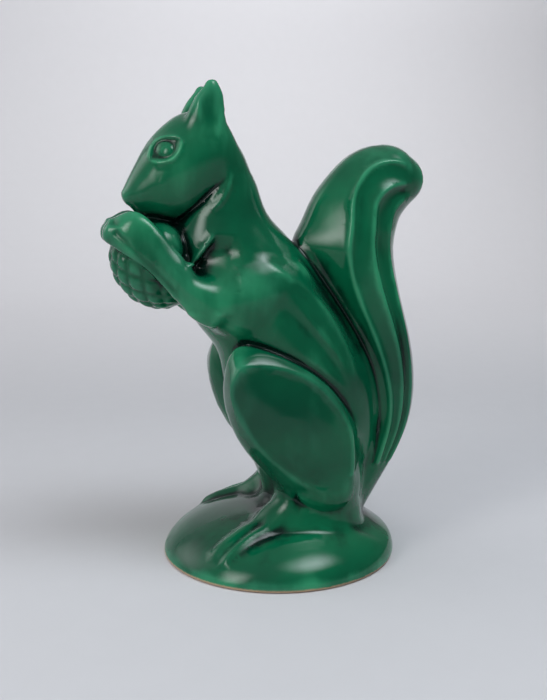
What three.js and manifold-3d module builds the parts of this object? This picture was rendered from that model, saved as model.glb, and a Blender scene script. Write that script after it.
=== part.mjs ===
// Squirrel money box: a hollow glazed pottery squirrel that sits on a round mound, nibbling a pine cone.
// Its coin slot runs down the back of the tail, and a rubber stopper closes the hole under the mound.
//
// Millimetres, +Z up. The squirrel faces -X and its left side is -Y. Heights in the forms below are
// measured from the crown of the mound; the finished group is lifted to stand with its foot ring on z = 0.

import * as THREE from 'three';
import { mergeVertices } from 'three/addons/utils/BufferGeometryUtils.js';
import Module from 'manifold-3d';

const wasm = await Module();
wasm.setup();

// Driving dimensions

const WALL = 4.5;               // thickness of the cast clay
const GAP = 0.3;                // slip joint between two cast pieces
const HOLLOW_DOME = 4;          // roundness of the ends of the hollows

const PLINTH_RADIUS = 56.5;
const PLINTH_RIM = 3.5;         // height of the upright edge of the mound
const PLINTH_CROWN = 24;        // height of the mound at its middle
const PLINTH_SWELL = 1.65;      // roundness of the mound: 2 is an ellipse, 1 a cone
const FOOT_RING_WIDTH = 8;
const FOOT_RECESS = 5;          // the floor of the mound stands this far above the table

const HOLE_RADIUS = 16;         // coin hole under the mound
const STOPPER_CLEARANCE = 0.3;
const STOPPER_FLANGE = 3.2;     // how far the flange reaches past the hole
const STOPPER_FLANGE_THICKNESS = 2;
const STOPPER_NOSE = 4;         // how far the plug stands up inside the hollow
const STOPPER_TAPER = 1.4;
const STOPPER_BEVEL = 0.6;
const STOPPER_TAB = { length: 22, width: 4, height: 1.6 };

const SLOT = { length: 28, width: 4.6, depth: 18, height: 65 };   // height is that of its middle

const EAR_HOLLOW = { radii: [5.2, 2.6, 11], centre: [-35, -17.6, 183], lean: 0.1 };
const TOE_CLEFT = { radii: [9, 1, 7], ahead: 6, above: 8 };
const FINGER_CLEFT = { radii: [8, 4.5, 0.9], centre: [-80, -13.5, 131.5], lean: 0.15 };
const EYE_RADIUS = 4.4;
const EYE_STANDS_OUT = 1.1;
const EYE_CENTRE = [-55.1, 12.2, 166.3];
const FLUTE_COUNT = 4;          // flutes on each side of the tail, from its back to the first ridge
const FLUTE_DEPTH = 1.7;
const FLUTED_ARC = THREE.MathUtils.degToRad(108);
const CONE_RADIUS = { length: 22, across: 19, side: 17 };
const CONE_SCALES = { round: 14, rows: 8, height: 1.2 };
const CONE_CENTRE = [-58.5, 116.5];
const CONE_LEAN = THREE.MathUtils.degToRad(40);
const FOOT_STAGGER = 6;         // the left foot steps this far in front of the right one

const CUT_MARGIN = 1;           // how far a cut runs past the face that it opens
const RING_SIDES = 24;
const TAIL_SIDES = 40;
const DOME_STEPS = 4;
const LATHE_SIDES = 36;
const HOLLOW_SIDES = 18;
const HAUNCH_SIDES = 28;
const BEAD_SIDES = 12;

// Each form is a loft. A station is [front x, front z, back x, back z, half width, middle y].
// Domes are the lengths of the rounded ends.

const BODY = {
  stations: [
    [-6, -6, 38, -8, 22],
    [-13, 19, 46, 18, 27],
    [-25, 46, 49, 42, 31],
    [-30, 73, 44, 66, 31],
    [-40, 88, 30, 90, 29],
    [-47, 106, 17, 109, 26],
    [-51, 123, 3, 127, 21.5],
    [-48, 136, -7, 138, 18],
    [-43, 148, -12.5, 150, 16.5],
    [-38, 159, -16.5, 162, 15],
  ],
  domes: [0, 8],
  steps: 17,
};

const HEAD = {
  stations: [
    [-70, 142, -72.6, 148.5, 4.5],
    [-65, 137, -69.2, 155.3, 8.5],
    [-58.5, 134.5, -65.3, 162.5, 12],
    [-51, 134, -61, 169.7, 15.5],
    [-42.5, 136.5, -54, 177, 18.5],
    [-34, 142, -46, 182, 20],
    [-26, 150, -37, 183, 19],
    [-21, 159, -29.5, 178.5, 15.5],
  ],
  domes: [1.5, 2.5],
  steps: 14,
  sides: 24,
};

const TAIL = {
  stations: [
    [24, -6, 39, -6, 12],
    [28, 12, 51, 11, 18],
    [32, 32, 62.5, 32, 21],
    [34, 54, 65.5, 52, 22.5],
    [31, 76, 63.5, 74, 23],
    [22, 98, 57.8, 96, 23.5],
    [8, 119, 53.8, 118, 23.5],
    [9.3, 132.2, 55.5, 129.5, 23],
    [14.8, 144, 58.2, 136, 21.5],
    [22.5, 156, 61.5, 138.5, 20],
    [34, 166.5, 63.5, 140.5, 18],
    [47, 168.8, 65.2, 143, 15.5],
  ],
  domes: [0, 10],
  steps: 20,
  sides: TAIL_SIDES,
  flutes: true,
};

const EAR = {
  stations: [
    [-46, 175, -24.5, 172, 6, -11],
    [-44.5, 182, -27.5, 181, 5, -12.3],
    [-41, 188.5, -29.2, 188.5, 4, -13],
    [-37.3, 193, -31.6, 194, 2.5, -13.3],
  ],
  domes: [0, 2],
  steps: 6,
  sides: 16,
};

const UPPER_ARM = {
  stations: [
    [-8, 90, 4, 119, 11, -18],
    [-22, 88, -13, 116, 11, -20],
    [-36, 90, -31, 108, 9, -21],
  ],
  domes: [8, 5],
  steps: 6,
  sides: 16,
};

const FOREARM = {
  stations: [
    [-39, 88.5, -31, 106, 8, -21],
    [-47, 95.5, -40, 112, 7.5, -20.5],
    [-60, 113, -53.5, 126, 6.5, -18],
    [-72, 122, -66.5, 139, 6, -13],
    [-80.8, 126.5, -77.5, 136.5, 5.5, -7],
  ],
  domes: [4, 3],
  steps: 10,
  sides: 16,
};

// The left foot lies on the mound. A step of its path, from heel to toes, is
// [share of the mound's radius in x, the same in y, half width, rise above the mound, depth in it].
const FOOT = {
  path: [
    [0.319, -0.336, 9, 7.7, 5.3],
    [0.035, -0.354, 9.5, 7.4, 5.6],
    [-0.248, -0.442, 9, 7.9, 6.1],
    [-0.496, -0.531, 8.5, 6.6, 4.4],
    [-0.655, -0.584, 7.5, 5.9, 4.1],
  ],
  domes: [5, 5],
  steps: 8,
  sides: 16,
};

// The haunch is an oval pad. Its profile gives the share of the oval's half axes at each distance from
// the mid-plane.
const HAUNCH = {
  centre: [0.8, 45],
  halfLength: 40,
  halfWidth: 24,
  lean: THREE.MathUtils.degToRad(34),
  profile: [
    [0, 8], [0.92, 8], [1, 20], [1, 27], [0.96, 32],
    [0.88, 35.5], [0.78, 36.4], [0.55, 37.4], [0.28, 38], [0, 38.2],
  ],
};

// Solids

function toSolid(geometry) {
  const bare = geometry.clone();
  bare.deleteAttribute('normal');
  bare.deleteAttribute('uv');
  const merged = mergeVertices(bare);
  const triVerts = new Uint32Array(merged.index.array);
  const vertProperties = new Float32Array(merged.attributes.position.array);
  const solid = new wasm.Manifold(new wasm.Mesh({ numProp: 3, vertProperties, triVerts }));
  if (solid.volume() > 0) return solid;
  return new wasm.Manifold(new wasm.Mesh({ numProp: 3, vertProperties, triVerts: triVerts.reverse() }));
}

function toGeometry(solid) {
  const mesh = solid.getMesh();
  const geometry = new THREE.BufferGeometry();
  geometry.setAttribute('position', new THREE.BufferAttribute(mesh.vertProperties, 3));
  geometry.setIndex(new THREE.BufferAttribute(mesh.triVerts, 1));
  geometry.computeVertexNormals();
  return geometry;
}

function cut(solid, ...cutters) {
  return cutters.reduce((rest, cutter) => rest.subtract(cutter), solid);
}

function join(first, ...others) {
  return others.reduce((whole, other) => whole.add(other), first);
}

// How far a flute sinks into the tail at an angle measured from its back edge.
function fluteDepth(angle) {
  const fromBack = Math.abs(Math.atan2(Math.sin(angle), Math.cos(angle)));
  if (fromBack >= FLUTED_ARC) return 0;
  return FLUTE_DEPTH * Math.abs(Math.sin(Math.PI * FLUTE_COUNT * fromBack / FLUTED_ARC));
}

// One ring of a loft: an ellipse across the mid-plane, and the direction in which the loft runs there.
function stationRing(fronts, backs, widths, t, grow) {
  const front = fronts.getPoint(t);
  const back = backs.getPoint(t);
  const centre = front.clone().add(back).multiplyScalar(0.5);
  const along = back.clone().sub(front);
  const half = along.length() / 2 + grow;
  along.normalize();
  return { centre, along, half, width: widths.getPoint(t).x + grow };
}

function ringPoints(form, ring, centre, scale) {
  const sides = form.sides ?? RING_SIDES;
  const points = [];
  for (let side = 0; side < sides; side += 1) {
    const angle = 2 * Math.PI * side / sides;
    const sink = form.flutes ? fluteDepth(angle) : 0;
    const point = centre.clone();
    point.addScaledVector(ring.along, (ring.half - sink) * scale * Math.cos(angle));
    point.y += (ring.width - sink) * scale * Math.sin(angle);
    points.push(point);
  }
  return points;
}

// Closed loft through a form's stations, grown outwards by a clearance or shrunk by a wall.
function loft(form, grow = 0) {
  const at = (pick) => new THREE.CatmullRomCurve3(form.stations.map(pick), false, 'catmullrom', 0.5);
  const fronts = at(([x, z, , , , y = 0]) => new THREE.Vector3(x, y, z));
  const backs = at(([, , x, z, , y = 0]) => new THREE.Vector3(x, y, z));
  const widths = at(([, , , , width]) => new THREE.Vector3(width, 0, 0));
  const rings = [];
  for (let step = 0; step <= form.steps; step += 1) {
    rings.push(stationRing(fronts, backs, widths, step / form.steps, grow));
  }
  const first = rings[0];
  const last = rings[rings.length - 1];
  const lateral = new THREE.Vector3(0, 1, 0);
  const axisAt = (ring, towards) => {
    const axis = ring.along.clone().cross(lateral);
    return axis.dot(towards) < 0 ? axis.negate() : axis;
  };
  const startAxis = axisAt(first, first.centre.clone().sub(rings[1].centre));
  const endAxis = axisAt(last, last.centre.clone().sub(rings[rings.length - 2].centre));
  const layers = [];
  const dome = (ring, axis, length, turn) => {
    const centre = ring.centre.clone().addScaledVector(axis, length * Math.sin(turn));
    return ringPoints(form, ring, centre, Math.cos(turn));
  };
  const turnAt = (step) => step / DOME_STEPS * Math.PI / 2;
  const startLength = form.domes[0] + grow;
  const endLength = form.domes[1] + grow;
  for (let step = DOME_STEPS - 1; step > 0; step -= 1) {
    layers.push(dome(first, startAxis, startLength, turnAt(step)));
  }
  for (const ring of rings) {
    layers.push(ringPoints(form, ring, ring.centre, 1));
  }
  for (let step = 1; step < DOME_STEPS; step += 1) {
    layers.push(dome(last, endAxis, endLength, turnAt(step)));
  }
  const startTip = first.centre.clone().addScaledVector(startAxis, startLength);
  const endTip = last.centre.clone().addScaledVector(endAxis, endLength);
  return toSolid(skin(layers, startTip, endTip));
}

// Triangles over a stack of rings, closed by a fan at each end.
function skin(layers, startTip, endTip) {
  const sides = layers[0].length;
  const points = [startTip, ...layers.flat(), endTip];
  const index = [];
  const at = (layer, side) => 1 + layer * sides + side % sides;
  for (let side = 0; side < sides; side += 1) {
    index.push(0, at(0, side + 1), at(0, side));
    index.push(points.length - 1, at(layers.length - 1, side), at(layers.length - 1, side + 1));
    for (let layer = 0; layer + 1 < layers.length; layer += 1) {
      index.push(at(layer, side), at(layer, side + 1), at(layer + 1, side));
      index.push(at(layer, side + 1), at(layer + 1, side + 1), at(layer + 1, side));
    }
  }
  const geometry = new THREE.BufferGeometry().setFromPoints(points);
  geometry.setIndex(index);
  return geometry;
}

function mirrored(solid) {
  return toSolid(toGeometry(solid).scale(1, -1, 1));
}

function turned(profile, sides = LATHE_SIDES) {
  const points = profile.map(([radius, height]) => new THREE.Vector2(radius, height));
  return new THREE.LatheGeometry(points, sides);
}

// Lathe about the vertical axis.
function turnedUpright(profile, sides) {
  return toSolid(turned(profile, sides).rotateX(Math.PI / 2));
}

// Profile of the mound from its edge up to the crown.
function moundProfile(radius, base, rise, lowest, steps) {
  const power = 2 / PLINTH_SWELL;
  const first = Math.asin(((lowest - base) / rise) ** (1 / power));
  const points = [];
  for (let step = 0; step < steps; step += 1) {
    const turn = first + (Math.PI / 2 - first) * step / steps;
    points.push([radius * Math.cos(turn) ** power, base + rise * Math.sin(turn) ** power]);
  }
  points.push([0, base + rise]);
  return points;
}

// Pieces

const table = -PLINTH_CROWN;
const floorTop = table + FOOT_RECESS + WALL;

// Height of the mound's surface at a distance from its middle.
function moundHeight(radius) {
  const share = 1 - (radius / PLINTH_RADIUS) ** PLINTH_SWELL;
  return table + PLINTH_RIM + (PLINTH_CROWN - PLINTH_RIM) * share ** (1 / PLINTH_SWELL);
}

function moundOuter(grow = 0) {
  const base = table + PLINTH_RIM;
  const radius = PLINTH_RADIUS + grow;
  const bevel = PLINTH_RIM / 3;
  const crown = moundProfile(radius, base, PLINTH_CROWN - PLINTH_RIM + grow, base, 9);
  const foot = table - grow;
  return turnedUpright([[0, foot], [radius - bevel, foot], [radius, foot + bevel], ...crown]);
}

function moundHollow() {
  const base = table + PLINTH_RIM;
  const rise = PLINTH_CROWN - PLINTH_RIM - WALL;
  const roof = moundProfile(PLINTH_RADIUS - WALL, base, rise, floorTop, 4);
  return turnedUpright([[0, floorTop], ...roof], HOLLOW_SIDES);
}

// The hollow inside a cast form, between two of its stations, with both ends rounded.
function hollowOf(form, first, last, steps, wall) {
  const domes = [wall + HOLLOW_DOME, wall + HOLLOW_DOME];
  const inner = { stations: form.stations.slice(first, last + 1), domes, steps, sides: HOLLOW_SIDES };
  return loft(inner, -wall);
}

function haunchPad(grow = 0) {
  const profile = HAUNCH.profile.map(([share, y], row) => [share, row < 2 ? y - grow : y + grow]);
  const geometry = turned(profile, HAUNCH_SIDES);
  geometry.scale(HAUNCH.halfLength + grow, -1, HAUNCH.halfWidth + grow);
  geometry.rotateY(Math.PI / 2 - HAUNCH.lean).translate(HAUNCH.centre[0], 0, HAUNCH.centre[1]);
  return toSolid(geometry);
}

function ellipsoid({ radii, centre, lean = 0 }) {
  const geometry = new THREE.SphereGeometry(1, BEAD_SIDES, BEAD_SIDES / 2).scale(...radii);
  return toSolid(geometry.rotateY(lean).translate(...centre));
}

function armForm(grow = 0) {
  return join(loft(UPPER_ARM, grow), loft(FOREARM, grow));
}

// The cone's scales are a diamond quilt: every other point of a fine net stands out, row by row.
function pineCone() {
  const { round, rows, height } = CONE_SCALES;
  const sides = 2 * round;
  const steps = 2 * rows;
  const layers = [];
  for (let step = 1; step < steps; step += 1) {
    const turn = Math.PI * step / steps;
    const layer = [];
    for (let side = 0; side < sides; side += 1) {
      const angle = 2 * Math.PI * side / sides;
      const sink = (step + side) % 2 ? height * Math.sin(turn) : 0;
      layer.push(new THREE.Vector3(
        (CONE_RADIUS.across - sink) * Math.sin(turn) * Math.cos(angle),
        (CONE_RADIUS.side - sink) * Math.sin(turn) * Math.sin(angle),
        (CONE_RADIUS.length - sink) * Math.cos(turn),
      ));
    }
    layers.push(layer);
  }
  const tip = CONE_RADIUS.length;
  const geometry = skin(layers, new THREE.Vector3(0, 0, tip), new THREE.Vector3(0, 0, -tip));
  return toSolid(geometry.rotateY(-CONE_LEAN).translate(CONE_CENTRE[0], 0, CONE_CENTRE[1]));
}

function coinSlot() {
  const tailBack = Math.max(...TAIL.stations.map((station) => station[2]));
  const box = new THREE.BoxGeometry(SLOT.depth, SLOT.width, SLOT.length);
  return toSolid(box.translate(tailBack - WALL, 0, SLOT.height));
}

function stopper() {
  const under = table + FOOT_RECESS - GAP;
  const plug = HOLE_RADIUS - STOPPER_CLEARANCE;
  const flange = HOLE_RADIUS + STOPPER_FLANGE;
  const top = floorTop + STOPPER_NOSE;
  const plugSolid = turnedUpright([
    [0, under - STOPPER_FLANGE_THICKNESS],
    [flange - STOPPER_BEVEL, under - STOPPER_FLANGE_THICKNESS],
    [flange, under - STOPPER_FLANGE_THICKNESS + STOPPER_BEVEL],
    [flange, under],
    [plug, under],
    [plug, floorTop],
    [plug - STOPPER_TAPER, top],
    [0, top],
  ]);
  const tab = new THREE.BoxGeometry(STOPPER_TAB.length, STOPPER_TAB.width, 2 * STOPPER_TAB.height);
  return join(plugSolid, toSolid(tab.translate(0, 0, under - STOPPER_FLANGE_THICKNESS)));
}

const bodySolid = loft(BODY);
const bodyRoom = loft(BODY, GAP);
const headRoom = loft(HEAD, GAP);
const moundRoom = moundOuter(GAP);
const tailRoom = loft(TAIL, GAP);
const haunchRoom = haunchPad(GAP);
const armRoom = armForm(GAP);
const hollow = join(
  hollowOf(BODY, 0, 7, 9, WALL),
  hollowOf(TAIL, 1, 11, 12, WALL + FLUTE_DEPTH),
  moundHollow(),
);

function upright(radius, bottom, top) {
  return turnedUpright([[0, bottom], [radius, bottom], [radius, top], [0, top]]);
}

const recess = upright(PLINTH_RADIUS - FOOT_RING_WIDTH, table - CUT_MARGIN, table + FOOT_RECESS);
const coinHole = upright(HOLE_RADIUS, table - CUT_MARGIN, floorTop + CUT_MARGIN);

const [eyeX, eyeSide, eyeZ] = EYE_CENTRE;
const eyes = [-eyeSide, eyeSide].map((y) => ellipsoid({
  radii: [EYE_RADIUS, EYE_RADIUS - EYE_STANDS_OUT, EYE_RADIUS],
  centre: [eyeX, y, eyeZ],
}));

const earSolid = cut(loft(EAR), ellipsoid(EAR_HOLLOW), headRoom, bodyRoom);
const armSolid = cut(armForm(), bodyRoom, headRoom, ellipsoid(FINGER_CLEFT));
const haunchSolid = cut(haunchPad(), bodyRoom, moundRoom, tailRoom);

// A left foot that stands a given distance behind the stepping one.
function footSolid(back) {
  const steps = FOOT.path.map(([shareX, shareY, halfWidth, rise, depth]) => {
    const x = shareX * PLINTH_RADIUS + back;
    const y = shareY * PLINTH_RADIUS;
    const ground = moundHeight(Math.hypot(x, y));
    return { x, y, ground, station: [x, ground - depth, x, ground + rise, halfWidth, y] };
  });
  const toes = steps[steps.length - 1];
  const cleftCentre = [toes.x - TOE_CLEFT.ahead, toes.y, toes.ground + TOE_CLEFT.above];
  const cleft = ellipsoid({ radii: TOE_CLEFT.radii, centre: cleftCentre });
  const form = { ...FOOT, stations: steps.map(({ station }) => station) };
  return cut(loft(form), moundRoom, bodyRoom, haunchRoom, tailRoom, cleft);
}

const solids = {
  plinth: cut(moundOuter(), hollow, recess, coinHole),
  body_shell: cut(bodySolid, moundRoom, headRoom, hollow),
  head: join(loft(HEAD), ...eyes),
  ear_left: earSolid,
  ear_right: mirrored(earSolid),
  arm_left: armSolid,
  arm_right: mirrored(armSolid),
  pine_cone: cut(pineCone(), armRoom, mirrored(armRoom), bodyRoom, headRoom),
  haunch_left: haunchSolid,
  haunch_right: mirrored(haunchSolid),
  foot_left: footSolid(0),
  foot_right: mirrored(footSolid(FOOT_STAGGER)),
  tail: cut(loft(TAIL), moundRoom, bodyRoom, hollow, coinSlot()),
  stopper: stopper(),
};

// Assembly

const glaze = { color: 0x0b5a3c, roughness: 0.12, metalness: 0 };
const rubber = { color: 0x2a2825, roughness: 0.8, metalness: 0 };

const moneyBox = new THREE.Group();
for (const [name, solid] of Object.entries(solids)) {
  const material = new THREE.MeshStandardMaterial(name === 'stopper' ? rubber : glaze);
  const mesh = new THREE.Mesh(toGeometry(solid), material);
  mesh.name = name;
  moneyBox.add(mesh);
}
const extent = new THREE.Box3().setFromObject(moneyBox);
moneyBox.position.set(-(extent.min.x + extent.max.x) / 2, 0, PLINTH_CROWN);
moneyBox.updateMatrixWorld(true);

export default moneyBox;
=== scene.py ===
"""Squirrel money box: a glazed pottery squirrel on a round mound, and the rubber stopper under it.

The clay forms are pressed into one field of distances, so that they run into each other as slip-cast
pieces do. The field is cut hollow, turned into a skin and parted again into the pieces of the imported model.
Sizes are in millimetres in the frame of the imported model: +Z up, the squirrel faces -X, its left is -Y.
"""

import math

import bpy
import numpy as np
import openvdb
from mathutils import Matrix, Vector


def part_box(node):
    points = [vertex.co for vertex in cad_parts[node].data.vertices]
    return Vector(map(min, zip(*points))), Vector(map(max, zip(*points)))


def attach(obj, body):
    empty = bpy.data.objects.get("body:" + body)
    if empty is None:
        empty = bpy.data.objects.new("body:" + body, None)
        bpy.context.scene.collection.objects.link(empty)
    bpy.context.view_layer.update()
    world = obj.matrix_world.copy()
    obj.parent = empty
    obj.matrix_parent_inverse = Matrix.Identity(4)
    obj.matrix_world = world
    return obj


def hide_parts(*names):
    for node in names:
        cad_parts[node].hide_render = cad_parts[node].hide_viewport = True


bl_info = {
    "name": "Squirrel Money Box",
    "version": (1, 0, 0),
    "blender": (4, 5, 0),
    "location": "View3D > Sidebar > Money Box",
    "description": "Builds a glazed pottery squirrel money box piece by piece",
    "category": "Object",
}

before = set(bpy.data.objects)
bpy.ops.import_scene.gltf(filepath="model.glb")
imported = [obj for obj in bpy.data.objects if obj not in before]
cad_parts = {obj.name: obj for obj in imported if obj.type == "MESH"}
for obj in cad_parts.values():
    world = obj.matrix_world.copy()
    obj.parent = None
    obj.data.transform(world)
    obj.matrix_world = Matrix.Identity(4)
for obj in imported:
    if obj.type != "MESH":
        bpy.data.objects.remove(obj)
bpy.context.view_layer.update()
MM = 0.001
PLINTH_LOW, PLINTH_HIGH = (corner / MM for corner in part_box("plinth"))
STOPPER_LOW, STOPPER_HIGH = (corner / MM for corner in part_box("stopper"))

# The mound's axis, and the height of its crown, from which the figure's stations are measured.
AXIS_X = (PLINTH_LOW.x + PLINTH_HIGH.x) / 2
CROWN = 24.0
# The mound is made to a little below the table, where it is cut level, and its crown stands behind its rim.
MOUND_RADIUS = 56
MOUND_RIM = 0.5
MOUND_BOTTOM = -3
RIM_SHIFT = -1.4
CROWN_SHIFT = 4.4
# How far from a surface its distances are known, and the ends of the clay field along x, y and z.
BAND = 7.0
FIELD = ((-80.0, 81.0), (-60.0, 60.0), (-4.0, 223.0))

# A station of a form is front x, front z, back x, back z, half width and, off the mid-plane, its middle y.
BODY = [
    (-6, -6, 38, -8, 22),
    (-13, 19, 46, 18, 27),
    (-25, 46, 49, 42, 31),
    (-30, 73, 44, 66, 31),
    (-40, 88, 30, 90, 29),
    (-47, 106, 17, 109, 26),
    (-51, 123, 3, 127, 21.5),
    (-48, 136, -7, 138, 18),
    (-43, 148, -11.6, 150, 16.5),
    (-38, 159, -16.6, 161, 15),
]
HEAD = [
    (-70, 142, -72.6, 148.5, 4.5),
    (-65, 137, -69.2, 155.3, 8.5),
    (-58.5, 134.5, -65.3, 162.5, 12),
    (-51, 134, -61, 169.7, 15.5),
    (-42.5, 136.5, -54, 177, 18.5),
    (-34, 142, -46, 182, 20),
    (-26, 150, -37, 183, 19),
    (-21.6, 159, -28.8, 179, 15.5),
]
TAIL = [
    (24, -6, 39, -6, 12),
    (28, 12, 51, 11, 18),
    (32, 32, 62.5, 32, 21),
    (34, 54, 66.9, 52, 22.5),
    (31, 76, 65.3, 74, 23),
    (21.5, 98, 59.8, 96, 23.5),
    (7, 119.5, 55.5, 118, 23.5),
    (9.3, 132.2, 56.3, 129.5, 23),
    (14.8, 144, 58.2, 135.7, 21.5),
    (22.5, 154.8, 60.5, 138.6, 20.5),
    (33, 164.8, 62.5, 140.8, 19),
    (45.5, 169.6, 64.3, 142.9, 17),
    (56, 168.6, 64.9, 143.4, 15),
    (63.4, 163.4, 64.4, 143.8, 12.5),
]
# Angles of the tail's three crests from its back edge, in degrees, at each station.
TAIL_CRESTS = [
    (60, 75, 92), (60, 75, 92), (60, 75, 94), (59, 77, 100), (57, 79, 111), (51, 79, 115), (47, 73, 102),
    (52, 77, 104), (56, 84, 112), (57, 88, 121), (50, 80, 123), (38, 64, 112), (32, 54, 92), (30, 50, 80),
]
EAR = [
    (-46, 175, -23.4, 171, 6, -11),
    (-44.5, 182, -28.1, 181, 5, -12.3),
    (-41, 188.5, -29.2, 188.5, 4, -13),
    (-37.3, 193, -31.6, 194, 2.5, -13.3),
]
UPPER_ARM = [
    (-6, 95, 2, 113, 4, -17),
    (-21, 89, -13, 114, 8, -19.5),
    (-36, 90, -31, 108, 9, -21),
]
FOREARM = [
    (-38.5, 89, -31, 106, 8, -21),
    (-48, 95.5, -40, 112, 7.5, -20.5),
    (-61.5, 111.5, -53.5, 126, 6.5, -18),
    (-73, 120.5, -66.5, 139, 6, -13),
    (-80.8, 126, -77.5, 136.5, 5.5, -7),
]

# The left foot seen from above, as x and y: its outline, its inner and outer edges, the lines of its inner
# toe and of its cleft, and the step in the mound beside it.
FOOT_OUTLINE = [
    (16, -8), (2.8, -11.6), (-6.5, -16.4), (-15.2, -19.8), (-24.7, -24.2), (-31, -26.9), (-34.2, -29.6),
    (-33.4, -32.6), (-30.6, -35), (-30.4, -38.4), (-27.6, -39.6), (-24.4, -37.8), (-13.4, -33.8),
    (-5.4, -32.3), (6.3, -29.8), (18.6, -26.3), (30, -21.5), (30, -8),
]
FOOT_INNER = FOOT_OUTLINE[:6] + [(-37, -29.5)]
FOOT_OUTER = FOOT_OUTLINE[16:11:-1] + [(-24.4, -38), (-32, -42)]
INNER_TOE = [(-31.5, -30.6), (-26, -28.6), (-18, -25.2), (-8, -21.5), (2, -17.5)]
TOE_CLEFT = [(-32, -35.6), (-25, -33.8), (-18.2, -30.6), (-8.9, -26.8), (0, -23.2), (7, -19.5)]
TERRACE = [(-22, -43), (-15, -41), (-0.8, -39.3), (12.6, -38), (26, -33), (36, -26)]
# Height of the left foot's outer edge above the mound along x.
FOOT_HEIGHTS = [
    (-35, 1), (-31, 2), (-25, 3.1), (-16, 3.8), (-7, 4.4), (2, 5), (12, 5.3), (22, 5.3), (32, 5.3),
]

# The ankle that carries the left haunch down into the mound, and the middle and radii of the heel.
ANKLE = [
    (-6, 20, 30, 18, 10, -23),
    (-6, 10, 31, 7, 11.5, -22),
    (-14, -6, 31, -6, 10.5, -20.5),
]
HEEL = (15.5, -21, 21), (25, 12, 13)

# The left haunch seen from the side, as x and z: the seam where it leaves the body, and its raised rim.
HAUNCH_SEAM = [
    (-20, 103.6), (-8.2, 105.1), (4.3, 101.5), (18.1, 93.6), (29.1, 82.5), (35, 69), (36.5, 54), (36, 40),
    (32, 29.5), (20, 26.8), (6, 32), (-9.4, 48), (-19.6, 62.6), (-25, 78.3), (-25, 92),
]
HAUNCH_RIM = [
    (-20.5, 96.2), (-12.7, 97), (-3.5, 95.8), (11.1, 90), (21.7, 80.1), (29.4, 68), (32, 55.1), (30.2, 42.2),
    (19.5, 38.2), (3.2, 46.6), (-11.3, 60.9), (-20.4, 74.4), (-24.3, 86.8),
]
# Layers of the haunch from its inner face to its crown: share of the way from seam to rim, scale, and
# distance from the mid-plane.
HAUNCH_LAYERS = [
    (0, 0.7, 8), (0, 0.84, 13), (0, 0.94, 18), (0, 0.985, 21.5), (0.02, 1, 24), (0.12, 1, 26.6),
    (0.3, 1, 29.6), (0.52, 1, 32.4), (0.74, 1, 34.4), (0.9, 1, 35.6), (1, 1, 35.9), (1, 0.975, 35.8),
    (1, 0.94, 35.6), (1, 0.89, 35.6), (1, 0.8, 36.1), (1, 0.6, 37.3), (1, 0.3, 38.4), (1, 0.02, 38.8),
]

# Lines drawn on the squirrel's side, as x and z.
JAW_CREASE = [(-45, 155.5), (-38.6, 161.8), (-31.5, 168.3), (-26.5, 173.8), (-23, 177.2), (-20, 182.5)]
RUFF_RIDGE = [(-20.2, 184), (-19.6, 179.2), (-20.6, 174.4), (-23, 169.7), (-26.1, 166), (-31, 161.5)]
RUFF_EDGE = [(-26.6, 156), (-30.5, 149.7), (-33.4, 145.6), (-37.7, 139.4), (-39.5, 135)]
CHEST_HOLLOW = [
    (-26, 155), (-17.2, 154), (-14.1, 147), (-14.9, 141), (-23.6, 135.6), (-33.6, 131), (-39.6, 128.5),
    (-39.5, 135), (-37.7, 139.4), (-33.4, 145.6), (-30.5, 149.7),
]
CHEST_SHOULDER = CHEST_HOLLOW[:7]
CONE_CREASE = [(-44, 155.5), (-41.3, 149.7), (-40.7, 144), (-41.3, 137.8), (-41.5, 130.5)]
BACK_RIDGE = [(-12, 147), (-1, 137.3), (15.6, 125.8), (28.8, 106.5), (35.8, 86.9), (38, 74)]
FLANK_RIDGE = [(-4, 137), (2, 131.4), (9.6, 121.4), (17.4, 111.2), (29.2, 94.3), (34, 76)]
FLANK_VALLEY = [(-6, 128), (0.6, 121.7), (11, 110.2), (22.6, 97.1), (30.8, 81.3)]
ARM_RIDGE = [(-13.8, 143), (-23.6, 136.5), (-33.6, 131.5), (-40, 127.5)]
FOREARM_LINE = [(-71, 155.8), (-65.2, 149.8), (-59, 143.6), (-51, 135.4), (-43, 125.8)]
HAUNCH_FOOT = [(-6, 43.5), (5.5, 33.5), (19, 27.8), (29.5, 29.4), (34.5, 37), (36.5, 46)]
FINGER_LINE = [(-78, 157.4), (-73, 158.2), (-67, 158.6)]
EAR_FOLD = [(-33.2, 214), (-33.4, 207), (-32.6, 199)]
EAR_BACK_RIM = [(-22.6, 210), (-23.2, 205), (-25, 198.3), (-26.8, 192.5), (-29, 186.5)]
# How each line is drawn: depth, negative for a ridge, width, the shares over which it fades in and out, and
# the distance from the mid-plane at which it starts.
SIDE_LINES = [
    (JAW_CREASE, 1.1, 1.1, (0.2, 0.4), 3),
    (RUFF_RIDGE, -1.1, 1.6, (0.3, 0.3), 3),
    (RUFF_EDGE, -1.0, 1.6, (0.25, 0.2), 3),
    (CONE_CREASE, 0.6, 1.4, (0.2, 0.2), 3),
    (ARM_RIDGE, -0.4, 2.4, (0.2, 0.3), 10),
    (BACK_RIDGE, -0.5, 2.2, (0.2, 0.4), 10),
    (FLANK_RIDGE, -0.6, 2.4, (0.3, 0.4), 10),
    (FLANK_VALLEY, 0.9, 3.5, (0.3, 0.3), 10),
    (FOREARM_LINE, 0.9, 1.2, (0.05, 0.2), 4),
    (HAUNCH_FOOT, 0.7, 1.7, (0.3, 0.35), 14),
    (FINGER_LINE, 0.6, 0.9, (0.2, 0.3), 3),
    (EAR_FOLD, -0.5, 1.1, (0.4, 0.4), 8),
    (EAR_BACK_RIM, -0.5, 1.4, (0.3, 0.5), 6),
]

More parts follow.
